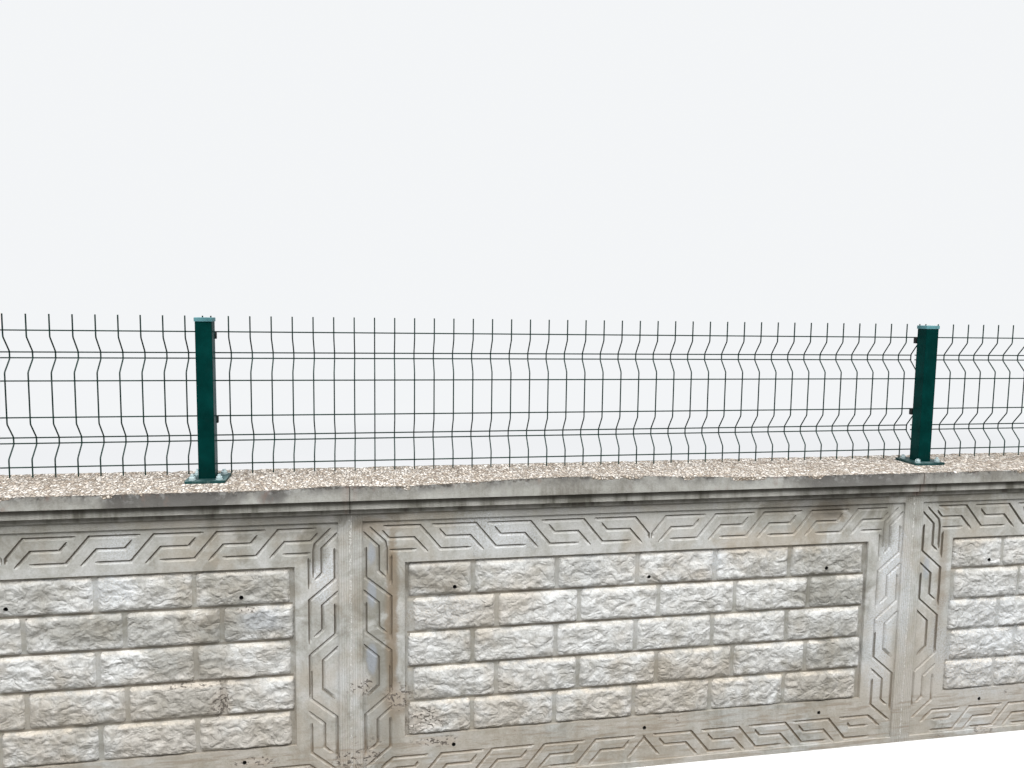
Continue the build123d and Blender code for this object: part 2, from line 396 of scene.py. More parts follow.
def castStone(look, marks, places):
    f = Finish(look["name"])
    cloud = f.noise(0.50, 3, 0.6, shift=(3, 1, 7))
    patch = f.noise(0.11, 4, 0.65, shift=(9, 4, 2), warp=0.8)
    streak = f.noise(0.028, 4, 0.6, stretch=(1, 1, 16), shift=(5, 0, 3))
    fine = f.noise(0.009, 4, 0.7)
    grain = f.noise(0.0022, 2, 0.6)
    tone = cloud * 0.30 + patch * 0.42 + streak * 0.16 + fine * 0.12
    colour = f.ramp(tone, [(0.41, look["dark"]), (0.49, look["mid"]), (0.565, look["light"])])

    low = 1 - f.soft(f.z, 0.12, 0.62)
    warm = f.noise(0.26, 4, 0.65, shift=(1, 8, 5))
    warmShare = f.soft(warm + low * 0.17, 0.50, 0.70)
    colour = f.blend(warmShare * look["ochre"], colour, marks["warm"])

    waver = (streak - 0.5) * 0.07 + (patch - 0.5) * 0.10
    shade = f.soft(f.z + waver, 0.66, 0.93)
    colour = f.blend(shade * look["topShade"], colour, marks["shade"])
    # Painted shade and soot darken the frame under the coping's overhang
    soot = f.soft(f.z + waver * 0.7, 0.865, 0.935) * (f.soft(cloud, 0.42, 0.58) * 0.30 + 0.20)
    colour = f.blend(soot, colour, marks["soot"])

    # Painted shadow, with some dirt, lies under each row of blocks, and below it the next row's top edge
    # gets a painted highlight
    toJoint = (f.x + places["halfLength"]).bounce(places["halfBay"])
    inField = f.soft(toJoint, *places["fieldSide"]) * f.soft(f.z, *places["fieldFoot"])
    inField = inField * (1 - f.soft(f.z, *places["fieldTop"]))
    row = (f.z + (patch - 0.5) * 0.004 - places["rowsFrom"]).wrapped(places["rowHeight"])
    topEdgeHighlight = f.soft(row, 0.094, 0.106) * f.soft(patch, 0.40, 0.56) * inField
    colour = f.blend(topEdgeHighlight * (low * 0.35 + 0.35), colour, marks["rowTopHighlight"])
    line = f.soft(row, 0.1100, 0.1115).most(1 - f.soft(row, 0.0008, 0.0018)) * inField
    colour = f.blend(line * (f.soft(cloud + patch, 0.85, 1.10) * 0.45 + 0.30), colour, marks["rowShadowAndDirt"])
    # The sunk field between the blocks gets painted shade
    if look["reeds"]:
        colour = f.blend(inField * 0.22, colour, marks["shade"])

    saltGrain = f.soft(f.noise(0.0055, 3, 0.7), 0.34, 0.60)
    salt = f.soft(f.noise(0.17, 5, 0.75, shift=(2, 2, 9)), 0.62, 0.74)
    colour = f.blend(salt * saltGrain * look["salt"] * 0.30, colour, marks["salt"])
    for tint, share, middle, reach in marks["blots"]:
        spot = f.blot(middle, reach, patch) * share
        spot = spot * saltGrain * look["salt"] if tint == "salt" else spot
        colour = f.blend(spot, colour, marks[tint])

    # Brown runs lengthwise on the lowest strip; the grooves get painted shade all along, and soil as
    # well near the ground
    foot = 1 - f.soft(f.z, *places["lowestStrip"])
    lengthwise = f.noise(0.013, 4, 0.65, stretch=(10, 1, 1), shift=(4, 2, 6))
    runs = f.soft(lengthwise * 0.7 + patch * 0.3, 0.48, 0.60) * foot
    colour = f.blend(runs * 0.50, colour, marks["brown"])
    sunk = (1 - f.soft(abs(f.y), *places["grooves"])) * (1 - inField)
    colour = f.blend(sunk * (foot * 0.50 + 0.12), colour, marks["brown"])

    # Pits lie in patches near the ground and at a few listed places
    pitZone = f.soft(f.noise(0.20, 3, 0.6, shift=(4, 6, 1)), 0.60, 0.68)
    pitZone = pitZone * (1 - f.soft(f.z, 0.12, 0.24))
    for middle, reach in marks["pitBlots"]:
        pitZone = pitZone.most(f.blot(middle, reach, patch))
    pitNoise = f.noise(0.0125, 2, 0.55, stretch=(1.2, 1, 0.9), shift=(7, 7, 2), warp=0.6)
    pits = f.soft(pitNoise, 0.545, 0.60) * pitZone
    colour = f.blend(pitZone * 0.35, colour, marks["stones"])
    colour = f.blend(pits * 0.85, colour, marks["pit"])
    specks = f.soft(f.noise(0.0060, 3, 0.75, shift=(3, 9, 3)), 0.50, 0.64)
    colour = f.blend(specks * 0.20, colour, marks["shade"])
    # Painted shade with grime on the pattern's steep groove walls, stronger further up
    if look["grimeAndShade"]:
        worn = f.soft(patch, 0.35, 0.6) * 0.5 + 0.5
        colour = f.blend(f.soft(f.z, 0.05, 0.90) * worn * look["grimeAndShade"], colour, marks["soot"])
    height = fine * 0.9 + patch * 0.6 + grain * 0.25 - pits * 2.2
    if look["crinkle"]:
        folds = f.noise(0.050, 2, 0.5, stretch=(1.1, 1, 0.9), shift=(2, 7, 4), warp=0.4)
        smaller = f.noise(0.024, 2, 0.5, stretch=(1.1, 1, 0.9), shift=(6, 3, 8), warp=0.4)
        # Painted shade with dirt darkens the creases of the rock face
        crease = 1 - f.soft(abs(folds - 0.5), 0.0, 0.05)
        smallCrease = 1 - f.soft(abs(smaller - 0.5), 0.0, 0.07)
        colour = f.blend(crease.most(smallCrease * 0.7) * 0.24, colour, marks["shade"])
        height = height + abs(folds - 0.5) * 15.0 + abs(smaller - 0.5) * 6.0
    if look["reeds"]:
        pilaster = 1 - f.soft(toJoint, *places["pilaster"])
        reeds = (toJoint * (2 * math.pi / places["reedPitch"])).sine() * pilaster
        flake = f.soft(f.noise(0.0065, 3, 0.7, stretch=(1, 1, 1.5), shift=(8, 1, 1)), 0.50, 0.60)
        flakes = (1 - f.soft(toJoint, 0.002, 0.006)) * flake
        colour = f.blend(f.soft(reeds * -1, 0.2, 1.0) * 0.30, colour, marks["shade"])
        colour = f.blend(flakes * 0.75, colour, marks["flakes"])
        height = height + reeds * 0.35 + flakes * 0.5
    return f.close(colour, marks["roughness"], height, marks["bumpDepth"])


frameStone = castStone(frameLook, stoneMarks, wallPlaces)
edgeStone = castStone(edgeLook, stoneMarks, wallPlaces)
blockStone = castStone(blockLook, stoneMarks, wallPlaces)


def plainFinish(name, first, second, roughness):
    f = Finish(name)
    return f.close(f.ramp(f.noise(0.01), [(0.3, first), (0.7, second)]), roughness)


# Painted shade: the walls inside the tie holes are nearly black
tieHoleShade = plainFinish("tieHolePaintedShade", (0.006, 0.006, 0.006), (0.020, 0.018, 0.015), 0.95)

# A bay's materials, and the places of three of them in that row
bayStones = (frameStone, edgeStone, blockStone, tieHoleShade)
edgeIndex, blockIndex, holeIndex = 1, 2, 3

# Coping: stained smooth fascia under a rough pebbly top
copingLook = {
    "roughness": 0.93, "bumpDepth": 0.0022,
    "fasciaFoot": (0.9765, 0.9785), "fasciaTop": (1.0165, 1.0190),
    "bandFoot": (0.9450, 0.9480), "bandTop": (0.9775, 0.9790),
    "topSide": (0.151, 0.156), "topFrom": (0.998, 1.002),
    "fascia": [(0.38, (0.190, 0.180, 0.155)), (0.48, (0.310, 0.305, 0.275)), (0.60, (0.41, 0.41, 0.38))],
    "band": [(0.40, (0.15, 0.145, 0.12)), (0.49, (0.34, 0.335, 0.30)), (0.58, (0.46, 0.455, 0.42))],
    "pebbles": [(0.05, (0.26, 0.20, 0.15)), (0.38, (0.56, 0.485, 0.40)), (0.90, (0.86, 0.81, 0.74))],
    "gapShade": (0.085, 0.065, 0.045),
    "rust": (0.22, 0.145, 0.115),
    "stainAndShade": (0.080, 0.075, 0.070),
    "lipShadeAndDirt": (0.055, 0.047, 0.040),
    "shadeBlots": [
        ((0.74, 0.99), (0.28, 0.11)),
        ((-1.50, 1.00), (0.20, 0.05)),
        ((-1.22, 1.00), (0.05, 0.03)),
    ],
    "soot": (0.05, 0.046, 0.036),
    "lichen": (0.56, 0.57, 0.56),
    "pebbleSize": 0.0105, "pebbleStretch": (1, 1.7, 1),
}

# The front edge stands higher over some stretches: middle and half length in metres, rise in mm
edgeRises = [(-0.27, 0.55, 14.0), (-0.45, 0.75, 5.0), (-1.03, 0.20, 7.0), (0.10, 0.35, 5.0)]


def riseAt(x):
    total = 0.0
    for middle, half, rise in edgeRises:
        t = max(0, 1 - abs(x * mm - middle) / half)
        total += rise * t * t * (3 - 2 * t)
    return total


def copingFinish(look, places):
    f = Finish("copingStone")
    level = f.z
    for middle, half, rise in edgeRises:
        level = level - (1 - f.soft(abs(f.x - middle), 0.0, half)) * (rise * mm)
    streak = f.noise(0.028, 4, 0.65, stretch=(1, 1, 10), shift=(2, 5, 1))
    cloud = f.noise(0.22, 4, 0.65, shift=(7, 3, 2), warp=0.5)
    fine = f.noise(0.007, 4, 0.7)
    tone = streak * 0.30 + cloud * 0.55 + fine * 0.15
    face = f.ramp(tone, look["fascia"])
    mottle = f.noise(0.045, 4, 0.7, shift=(5, 8, 2))
    drip = f.soft(streak * 0.5 + mottle * 0.5, 0.42, 0.60) * 0.55 + 0.22
    face = f.blend(f.soft(level, 0.978, 1.018) * drip, face, look["stainAndShade"])
    # Painted shade with dirt in a ragged line under the pebbles' lip, near the top of the fascia
    lip = f.soft(level + (mottle - 0.5) * 0.05, 1.008, 1.016)
    lip = lip * f.soft(f.noise(0.014, 3, 0.65), 0.44, 0.58)
    face = f.blend(lip * 0.75, face, look["lipShadeAndDirt"])
    # Patches of painted shade at the shadeBlots, on the fascia and on the band below them
    shadePatches = None
    for middle, reach in look["shadeBlots"]:
        spot = f.blot(middle, reach, cloud)
        shadePatches = shadePatches.most(spot) if shadePatches else spot
    face = f.blend(shadePatches * 0.75, face, look["stainAndShade"])
    rust = f.soft(f.noise(0.055, 4, 0.65, stretch=(1, 1, 2), shift=(6, 6, 6)), 0.58, 0.70)
    face = f.blend(rust * 0.4, face, look["rust"])
    lichen = f.soft(f.noise(0.035, 4, 0.7, shift=(1, 9, 6)), 0.56, 0.64)
    face = f.blend(lichen * f.soft(level, 0.980, 1.012) * 0.20, face, look["lichen"])

    # The stepped bands under the fascia, with painted shade and soot under each step
    bandStreak = f.noise(0.060, 4, 0.6, stretch=(1, 1, 8), shift=(8, 2, 3))
    band = f.ramp(bandStreak * 0.6 + cloud * 0.3 + streak * 0.1, look["band"])
    face = f.blend(f.soft(f.z, *look["fasciaFoot"]), band, face)
    step = f.soft(f.z, 0.955, 0.970) * (1 - f.soft(f.z, *look["bandTop"]))
    foot = 1 - f.soft(f.z, *look["bandFoot"])
    face = f.blend((step * 0.75).most(foot * 0.50), face, look["soot"])
    face = f.blend(shadePatches * (1 - f.soft(f.z, 0.9700, 0.9780)) * 0.50, face, look["soot"])
    toJoint = (f.x + places["halfLength"]).bounce(places["bay"])
    toJoint = toJoint.least(places["bay"] - toJoint)
    nearJoint = 1 - f.soft(toJoint, 0.004, 0.030)
    face = f.blend(nearJoint * f.soft(streak, 0.40, 0.60) * 0.45, face, look["rust"])
    face = f.blend((1 - f.soft(toJoint, 0.0010, 0.0030)) * 0.80, face, look["soot"])

    # Pebbles of the top: light stones, with painted shade in the gaps between them and in hollows where
    # some fell out
    size, stretch = look["pebbleSize"], look["pebbleStretch"]
    stones = f.cells(size, out="Color", stretch=stretch)
    edges = f.cells(size, "DISTANCE_TO_EDGE", stretch=stretch)
    hollow = f.soft(f.noise(0.017, 3, 0.7, stretch=stretch, shift=(5, 5, 1)), 0.52, 0.64)
    pebbles = f.ramp(f.first(stones) * 0.75 + cloud * 0.3, look["pebbles"])
    pebbles = f.blend(hollow * 0.50, pebbles, look["gapShade"])
    pebbles = f.blend((1 - f.soft(edges, 0.0, 0.18)) * 0.80, pebbles, look["gapShade"])
    worn = f.noise(0.02, 4, 0.7, shift=(1, 1, 4))
    slump = f.soft(f.noise(0.10, 3, 0.6, shift=(3, 1, 8)), 0.56, 0.66)
    topLine = level + (worn - 0.5) * 0.010 + slump * 0.012
    inside = (1 - f.soft(abs(f.y), *look["topSide"])) * f.soft(f.z, *look["topFrom"])
    onTop = f.soft(topLine, *look["fasciaTop"]).most(inside)
    colour = f.blend(onTop, face, pebbles)
    height = f.soft(edges, 0.0, 0.30) * onTop * 1.6 + fine * 0.5 + f.noise(0.003, 3, 0.6) * 0.3
    return f.close(colour, look["roughness"], height, look["bumpDepth"])


copingStone = copingFinish(copingLook, wallPlaces)


# Coated steel and plastic, faded and dusty in places
coatMarks = {
    "faded": 0.72, "bright": 1.28,
    "dust": (0.30, 0.33, 0.31), "topDust": (0.24, 0.34, 0.34), "topDustOver": 0.0006,
    "bumpDepth": 0.00005,
}


def coatedFinish(name, colour, worn, roughness, shine=0.3, dustyFrom=None):
    f = Finish(name)
    marks = coatMarks
    cloud = f.noise(0.09, 4, 0.6)
    fine = f.noise(0.0009, 2, 0.5)
    faded, bright = [tuple(c * marks[key] for c in colour) for key in ("faded", "bright")]
    tone = f.ramp(cloud, [(0.35, faded), (0.65, bright)])
    dust = f.soft(f.noise(0.022, 4, 0.7, stretch=(1, 1, 3), shift=(3, 3, 3)), 0.52, 0.78)
    tone = f.blend(dust * worn, tone, marks["dust"])
    if dustyFrom:
        upper = f.soft(f.z, dustyFrom, dustyFrom + marks["topDustOver"])
        tone = f.blend(upper * (f.soft(cloud, 0.40, 0.60) * 0.35 + 0.05), tone, marks["topDust"])
    rough = roughness + dust * 0.25 + (cloud - 0.5) * 0.1
    return f.close(tone, rough, fine, marks["bumpDepth"], shine=shine)


postGreen = coatedFinish("postGreen", (0.0006, 0.027, 0.024), 0.002, 0.26, 0.05)
plateGreen = coatedFinish("plateGreen", (0.008, 0.044, 0.043), 0.35, 0.48, 0.2, 1.0270)
capGreen = coatedFinish("capGreen", (0.085, 0.215, 0.235), 0.12, 0.45)
wireGreen = coatedFinish("wireGreen", (0.004, 0.024, 0.018), 0.05, 0.45)
boltGreen = coatedFinish("boltGreen", (0.45, 0.56, 0.57), 0.40, 0.40, 0.5)
clipBlack = coatedFinish("clipBlack", (0.006, 0.007, 0.007), 0.05, 0.5)


# Puts a bmesh into the scene as a piece that rides on the fence. With a smoothIndex, only the
# faces of that material are smooth. The sharp edges come first, because they reset the flat faces.
def addPiece(name, bm, materials, standsFor=(), sharpFrom=40, smoothIndex=None):
    mesh = toMesh(bm, name, *materials)
    mesh.set_sharp_from_angle(angle=math.radians(sharpFrom))
    smooth = [smoothIndex in (None, p.material_index) for p in mesh.polygons]
    mesh.polygons.foreach_set("use_smooth", smooth)
    piece = bpy.data.objects.new(name, mesh)
    bpy.context.scene.collection.objects.link(piece)
    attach(piece, "root")
    if standsFor:
        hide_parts(*standsFor)


# A CAD node's mesh, with its doubled vertices merged and its flat faces whole
def nodeMesh(name):
    bm = bmesh.new()
    bm.from_mesh(nodes[name].data)
    bmesh.ops.remove_doubles(bm, verts=bm.verts, dist=0.01 * mm)
    bmesh.ops.dissolve_limit(bm, angle_limit=math.radians(1), verts=bm.verts, edges=bm.edges)
    return bm


def toMesh(bm, name, *materials):
    mesh = bpy.data.meshes.new(name)
    bm.to_mesh(mesh)
    bm.free()
    for material in materials:
        mesh.materials.append(material)
    return mesh


# What is left of one closed mesh outside another
def cutAway(mesh, cutterMesh):
    work = bpy.data.objects.new("work", mesh)
    cutter = bpy.data.objects.new("cutter", cutterMesh)
    for o in (work, cutter):
        bpy.context.scene.collection.objects.link(o)
    cut = work.modifiers.new("cut", "BOOLEAN")
    cut.operation = "DIFFERENCE"
    cut.solver = "EXACT"
    cut.use_self = True
    cut.material_mode = "TRANSFER"
    cut.object = cutter
    graph = bpy.context.evaluated_depsgraph_get()
    result = bpy.data.meshes.new_from_object(work.evaluated_get(graph))
    bpy.data.objects.remove(work)
    bpy.data.objects.remove(cutter)
    return result


print("stage: wall bays")

low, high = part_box("wall_bay_3")
bayWidth = (high.x - low.x) / mm
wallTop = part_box("coping_3")[1].z / mm
frameFace = 115.0

# Lines of the key pattern on one half bay, as along and across from each turn of the key.
# The groove lies right of a line's direction, and its steep wall is on the line itself.
patternSettings = {
    "outer": [(-147, 0), (0, 0), (66, 79), (165, 79)],
    "inner": [(-120, 14), (-98, 39), (-19, 39), (27, 91)],
    "topLine": 133,
    "topTurns": [220, 399.5, 579, 758.5, 938],
    "edgeLine": 40,
    "bandWidth": 91,
    "sideTurnsAbove": [364, 543.5],
    "sideTurnsBelow": [753, 932.5],
    "lowLine": 905,
    "lowTurns": [287, 457, 635.5, 815],
    "corner": [
        [(60, 133), (112, 184), (117, 209), (117, 296)],
        [(119, 211), (208, 211)],
        [(40, 148), (92, 199), (92, 279), (113, 300)],
        [(131, 228), (131, 331)],
        [(40, 516.5), (91, 562.5), (91, 662), (52, 697)],
    ],
    "lowCorner": [
        [(250, 905), (131, 905), (89, 936)],
        [(211, 927), (201, 941), (128, 941)],
    ],
    "profile": [(-0.8, 3.0), (1.2, -5.6), (4.2, -6.0), (10.0, -1.6), (15.5, 3.0)],
    "wornShare": 0.22, "wornSize": 55.0, "endHeight": 0.8,
    "seedStep": 0.37, "apart": 0.01, "apartCycle": 7,
    "shadedSides": 2,
    "fadeOut": 16.0,
    "stepLength": 45.0,
}


def patternLines(s):
    lines = [list(line) for line in s["corner"]]
    middle = bayWidth / 2
    outer, inner, edge = s["outer"], s["inner"], s["edgeLine"]
    for number, turn in enumerate(s["topTurns"]):
        line = [(turn + a, s["topLine"] + b) for a, b in outer]
        if number == 0:
            line[0] = (100, s["topLine"])
        if number == len(s["topTurns"]) - 1:
            line = line[:2] + [(middle - 2, s["topLine"] + 60), (middle - 2, s["topLine"] + 79)]
        lines.append(line)
        lines.append([(turn + a, s["topLine"] + b) for a, b in inner])
    far = edge + s["bandWidth"]
    for number, turn in enumerate(s["sideTurnsAbove"]):
        lines.append([(far - b, turn - a) for a, b in reversed(outer)])
        if number == 0:
            lines.append([(far - b, turn - a) for a, b in reversed(inner)])
    for number, turn in enumerate(s["sideTurnsBelow"]):
        lines.append([(edge + b, turn - a) for a, b in outer[number:]])
        lines.append([(edge + b, turn - a) for a, b in inner[number * 2:]])
    return lines


# The lower band runs the other way, so its lines are measured from the other end of the bay
def lowerLines(s):
    lines = [list(line) for line in s["lowCorner"]]
    for turn in s["lowTurns"]:
        lines.append([(turn - a, s["lowLine"] + b) for a, b in s["outer"]])
        lines.append([(turn - a, s["lowLine"] + b) for a, b in s["inner"]])
    middle = bayWidth / 2
    lines.append([(middle + 4, s["lowLine"]), (middle - 62, s["lowLine"] + 79)])
    return lines


# A line as short steps, each with the share of the full depth there, which is none at both ends
def stepped(line, s):
    points = [Vector(p) for p in line]
    route = [(points[0], 0.0)]
    for here, there in zip(points, points[1:]):
        length = (there - here).length
        steps = max(1, round(length / s["stepLength"]))
        for i in range(1, steps + 1):
            route.append((here.lerp(there, i / steps), 1.0))
    for end, near in ((0, 1), (-1, -2)):
        run = route[near][0] - route[end][0]
        share = min(s["fadeOut"] / run.length, 0.45)
        route.insert(near if end == 0 else -1, (route[end][0] + run * share, 1.0))
    route[-1] = (route[-1][0], 0.0)
    return route


# Carries a tube on from its end face to the next ring, and leaves no face inside
def nextCap(bm, cap, ring):
    inside = any(len(e.link_faces) > 1 for e in cap.edges)
    made = bmesh.ops.extrude_face_region(bm, geom=[cap])
    if inside:
        bmesh.ops.delete(bm, geom=[cap], context="FACES_ONLY")
    cap = next(g for g in made["geom"] if isinstance(g, bmesh.types.BMFace))
    for vert, co in zip(list(cap.verts), ring):
        vert.co = co
    return cap


# Each groove is pushed out by a slightly different amount, so no two cutters share a plane
def grooveCutter(bm, line, s, placeAt):
    route = stepped(line, s)
    seed = len(bm.verts) * s["seedStep"]
    apart = s["apart"] * (seed % s["apartCycle"])
    cap = None
    for i, (point, full) in enumerate(route):
        before = (point - route[i - 1][0]).normalized() if i > 0 else None
        after = (route[i + 1][0] - point).normalized() if i < len(route) - 1 else None
        sides = [Vector((-d.y, d.x)) for d in (before, after) if d is not None]
        across = (sides[0] + sides[-1]) / (1 + sides[0].dot(sides[-1]))
        spot = Vector((point.x / s["wornSize"], point.y / s["wornSize"], seed))
        worn = 1 + s["wornShare"] * noise.noise(spot)
        ring = []
        for offset, height in s["profile"]:
            if height <= 0:
                height = height * worn * full + s["endHeight"] * (1 - full)
            ring.append(placeAt(point + across * offset, height + apart))
        if cap is None:
            cap = bm.faces.new([bm.verts.new(co) for co in ring])
            continue
        cap = nextCap(bm, cap, ring)
        for number, edge in enumerate(list(cap.edges)):
            for side in edge.link_faces:
                if side is not cap:
                    side.material_index = edgeIndex if number < s["shadedSides"] else 0


def onFront(u, d, height):
    return Vector((low.x + u * mm, -(frameFace + height) * mm, (wallTop - d) * mm))


holeSettings = {
    "places": [(330, 346), (990, 346), (1650, 346), (330, 882), (990, 882), (1650, 882)],
    "radius": 6.5, "depth": 60.0, "sides": 14,
}


def addHoles(bm, s):
    known = set(bm.faces)
    for u, d in s["places"]:
        middle = onFront(u, d, 0)
        turned = Matrix.Translation(middle) @ Matrix.Rotation(math.pi / 2, 4, "X")
        bmesh.ops.create_cone(bm, cap_ends=True, segments=s["sides"], radius1=s["radius"] * mm,
                              radius2=s["radius"] * mm, depth=2 * s["depth"] * mm, matrix=turned)
    for face in bm.faces:
        if face not in known:
            face.material_index = holeIndex


# Adds the same cutters for the back, turned about the middle of the bay
def bothFaces(bm):
    half = bmesh.ops.duplicate(bm, geom=bm.verts[:] + bm.edges[:] + bm.faces[:])
    turned = [g for g in half["geom"] if isinstance(g, bmesh.types.BMVert)]
    middle = Vector(((low.x + high.x) / 2, 0, 0))
    bmesh.ops.rotate(bm, verts=turned, cent=middle, matrix=Matrix.Rotation(math.pi, 3, "Z"))
    bmesh.ops.recalc_face_normals(bm, faces=bm.faces)


def bayCutters():
    bm = bmesh.new()
    s = patternSettings
    for line in patternLines(s):
        grooveCutter(bm, line, s, lambda p, h: onFront(p.x, p.y, h))
        grooveCutter(bm, line, s, lambda p, h: onFront(bayWidth - p.x, p.y, h))
    for line in lowerLines(s):
        flipped = [(bayWidth - u, d) for u, d in line]
        grooveCutter(bm, flipped, s, lambda p, h: onFront(p.x, p.y, h))
        grooveCutter(bm, flipped, s, lambda p, h: onFront(bayWidth - p.x, p.y, h))
    addHoles(bm, holeSettings)
    bothFaces(bm)
    print("cutter open edges", sum(1 for e in bm.edges if not e.is_manifold))
    return toMesh(bm, "bayCutters", *bayStones)


# Rock-faced blocks of the sunk field, five rows in running bond
blockSettings = {
    "left": 170, "top": 764, "fieldSunk": 12.0,
    "rowHeight": 117, "jointAbove": 7, "jointBelow": 0.8,
    "oddRow": [(11, 214), (228, 494), (508, 774), (788, 1054), (1068, 1334), (1348, 1623)],
    "evenRow": [(28, 293), (307, 573), (587, 853), (867, 1133), (1147, 1413), (1427, 1634)],
    "cell": 6.8,
    "swell": 9.2, "pillow": 0.10, "highest": 14.5,
    "fadeSide": 8, "fadeTop": 13, "fadeFoot": 5,
    "relief": 4.8, "sharpness": 3.2, "warp": 0.9,
    "warpSize": (70, 55), "creaseSize": (34, 24), "lumpSize": (62, 40),
    "crease": 0.55, "small": 0.28, "lump": 0.9,
    "edgeWaver": 1.8, "waverSize": 25, "cornerOut": (2.5, 2.0),
    "rootDeep": 1.5,
}


def rockRelief(s, u, z, seed):
    wide, high = s["warpSize"]
    warp = noise.noise_vector(Vector((u / wide, z / high, seed)))
    wide, high = s["creaseSize"]
    spot = Vector((u / wide + warp.x * s["warp"], z / high + warp.y * s["warp"], seed))
    crease = 1 - s["sharpness"] * abs(noise.noise(spot))
    small = 1 - s["sharpness"] * abs(noise.noise(spot * 2.1 + Vector((7, 3, 1))))
    wide, high = s["lumpSize"]
    lump = noise.noise(Vector((u / wide, z / high, seed + 9)))
    return s["crease"] * crease + s["small"] * small + s["lump"] * lump


def addBlock(bm, s, u0, u1, z0, z1, seed):
    columns = max(4, round((u1 - u0) / s["cell"]))
    rows = max(4, round((z1 - z0) / s["cell"]))
    made = bmesh.ops.create_grid(bm, x_segments=columns, y_segments=rows, size=0.5)
    verts = made["verts"]
    faces = {f for v in verts for f in v.link_faces}
    for v in verts:
        across, up = v.co.x + 0.5, v.co.y + 0.5
        u, z = u0 + across * (u1 - u0), z0 + up * (z1 - z0)
        toSide, toTop, toFoot = min(u - u0, u1 - u), z1 - z, z - z0
        fade = min(1, toSide / s["fadeSide"], toTop / s["fadeTop"], toFoot / s["fadeFoot"])
        fade = max(0, fade)
        pillow = 1 - s["pillow"] * (2 * across - 1) ** 2 - s["pillow"] * (2 * up - 1) ** 2
        height = s["swell"] * pillow * fade ** 0.6
        height += rockRelief(s, u, z, seed) * s["relief"] * min(1, fade * 1.4)
        if fade < 0.01:
            inCorner = toSide < 1 and min(toFoot, toTop) < 1
            spot = Vector((u / s["waverSize"], z / s["waverSize"], seed + 2))
            waver = s["edgeWaver"] * noise.noise_vector(spot)
            outX, outZ = s["cornerOut"] if inCorner else (0, 0)
            u += waver.x + math.copysign(outX, 0.5 - across)
            z += waver.y + math.copysign(outZ, 0.5 - up)
            height = 0
        v.co = Vector((u, z, min(max(height, 0), s["highest"])))
    made = bmesh.ops.extrude_face_region(bm, geom=list(faces))
    for g in made["geom"]:
        if isinstance(g, bmesh.types.BMVert):
            g.co.z = -s["rootDeep"]
    backFaces = [g for g in made["geom"] if isinstance(g, bmesh.types.BMFace)]
    bmesh.ops.dissolve_faces(bm, faces=backFaces)


# The blocks of one face. Only those with a tie hole through them are bored.
def blocksMesh(s):
    plain, bored = bmesh.new(), bmesh.new()
    for row in range(5):
        z1 = s["top"] - s["rowHeight"] * row - s["jointAbove"]
        z0 = s["top"] - s["rowHeight"] * (row + 1) + s["jointBelow"]
        for u0, u1 in (s["evenRow"] if row % 2 else s["oddRow"]):
            u0, u1 = s["left"] + u0, s["left"] + u1
            holed = any(u0 < u < u1 and z0 < wallTop - d < z1 for u, d in holeSettings["places"])
            addBlock(bored if holed else plain, s, u0, u1, z0, z1, row * 7.3 + u0 * 0.11)
    for bm in (plain, bored):
        for v in bm.verts:
            u, z, h = v.co
            v.co = Vector((low.x + u * mm, -(frameFace - s["fieldSunk"] + h) * mm, z * mm))
        for face in bm.faces:
            face.material_index = blockIndex
        bmesh.ops.recalc_face_normals(bm, faces=bm.faces)
    holes = bmesh.new()
    addHoles(holes, holeSettings)
    plain.from_mesh(cutAway(toMesh(bored, "bored", *bayStones), toMesh(holes, "holes", *bayStones)))
    return toMesh(plain, "blocks", *bayStones)


def makeBays():
    start = toMesh(nodeMesh("wall_bay_3"), "bayStart", *bayStones)
    carved = cutAway(start, bayCutters())
    blocks = blocksMesh(blockSettings)
    bm = bmesh.new()
    bm.from_mesh(carved)
    print("carved faces", len(bm.faces), "open edges", sum(1 for e in bm.edges if not e.is_manifold))
    bm.from_mesh(blocks)
    middle = Matrix.Translation(((low.x + high.x) / 2, 0, 0))
    blocks.transform(middle @ Matrix.Rotation(math.pi, 4, "Z") @ middle.inverted())
    bm.from_mesh(blocks)
    loose = sum(1 for e in bm.edges if not e.is_manifold)
    whole = toMesh(bm, "bay")
    print("bay triangles", sum(len(p.vertices) - 2 for p in whole.polygons), "open edges", loose)
    for number in range(1, 6):
        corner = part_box(f"wall_bay_{number}")[0]
        bm = bmesh.new()
        bm.from_mesh(whole)
        bmesh.ops.translate(bm, vec=(corner.x - low.x, 0, 0), verts=bm.verts)
        addPiece(f"carved_wall_bay_{number}", bm, bayStones, [f"wall_bay_{number}"],
                 50, blockIndex)


makeBays()

print("stage: coping")

# Each length of coping as a grid: columns along it, rows around its profile
copingSettings = {
    "column": 6.6, "row": 6.6,
    "steps": [(128, 930), (128, 947), (142, 947), (142, 978), (160, 978)],
    "fasciaRows": 5,
    "pebble": 3.4, "pebbleSize": 8.5, "pebbleShare": 0.25,
    "swell": 2.0, "swellSize": (85, 60),
    "edgeReach": 16, "edgeHold": 0.75, "chipAbove": 1000,
    "chip": 3.5, "chipSize": 38, "chipFrom": 0.12, "chipInward": 0.8,
    "bigChip": 11.0, "bigChipSize": 90, "bigChipFrom": 0.28,
    "faceWaver": 0.5, "faceWaverSize": (60, 30),
    "riseFrom": 20, "riseOver": 180,
    "seatHalf": 66.0, "seatFade": 14.0, "seatPebble": 0.12,
}


def copingProfile(s):
    edge = s["steps"][-1]
    lift = (wallTop - edge[1]) / s["fasciaRows"]
    half = s["steps"] + [(edge[0], edge[1] + lift * i) for i in range(1, s["fasciaRows"] + 1)]
    count = round(2 * edge[0] / s["row"])
    top = [(-edge[0] + 2 * edge[0] * i / count, wallTop) for i in range(1, count)]
    return [(-y, z) for y, z in half] + top + half[::-1]


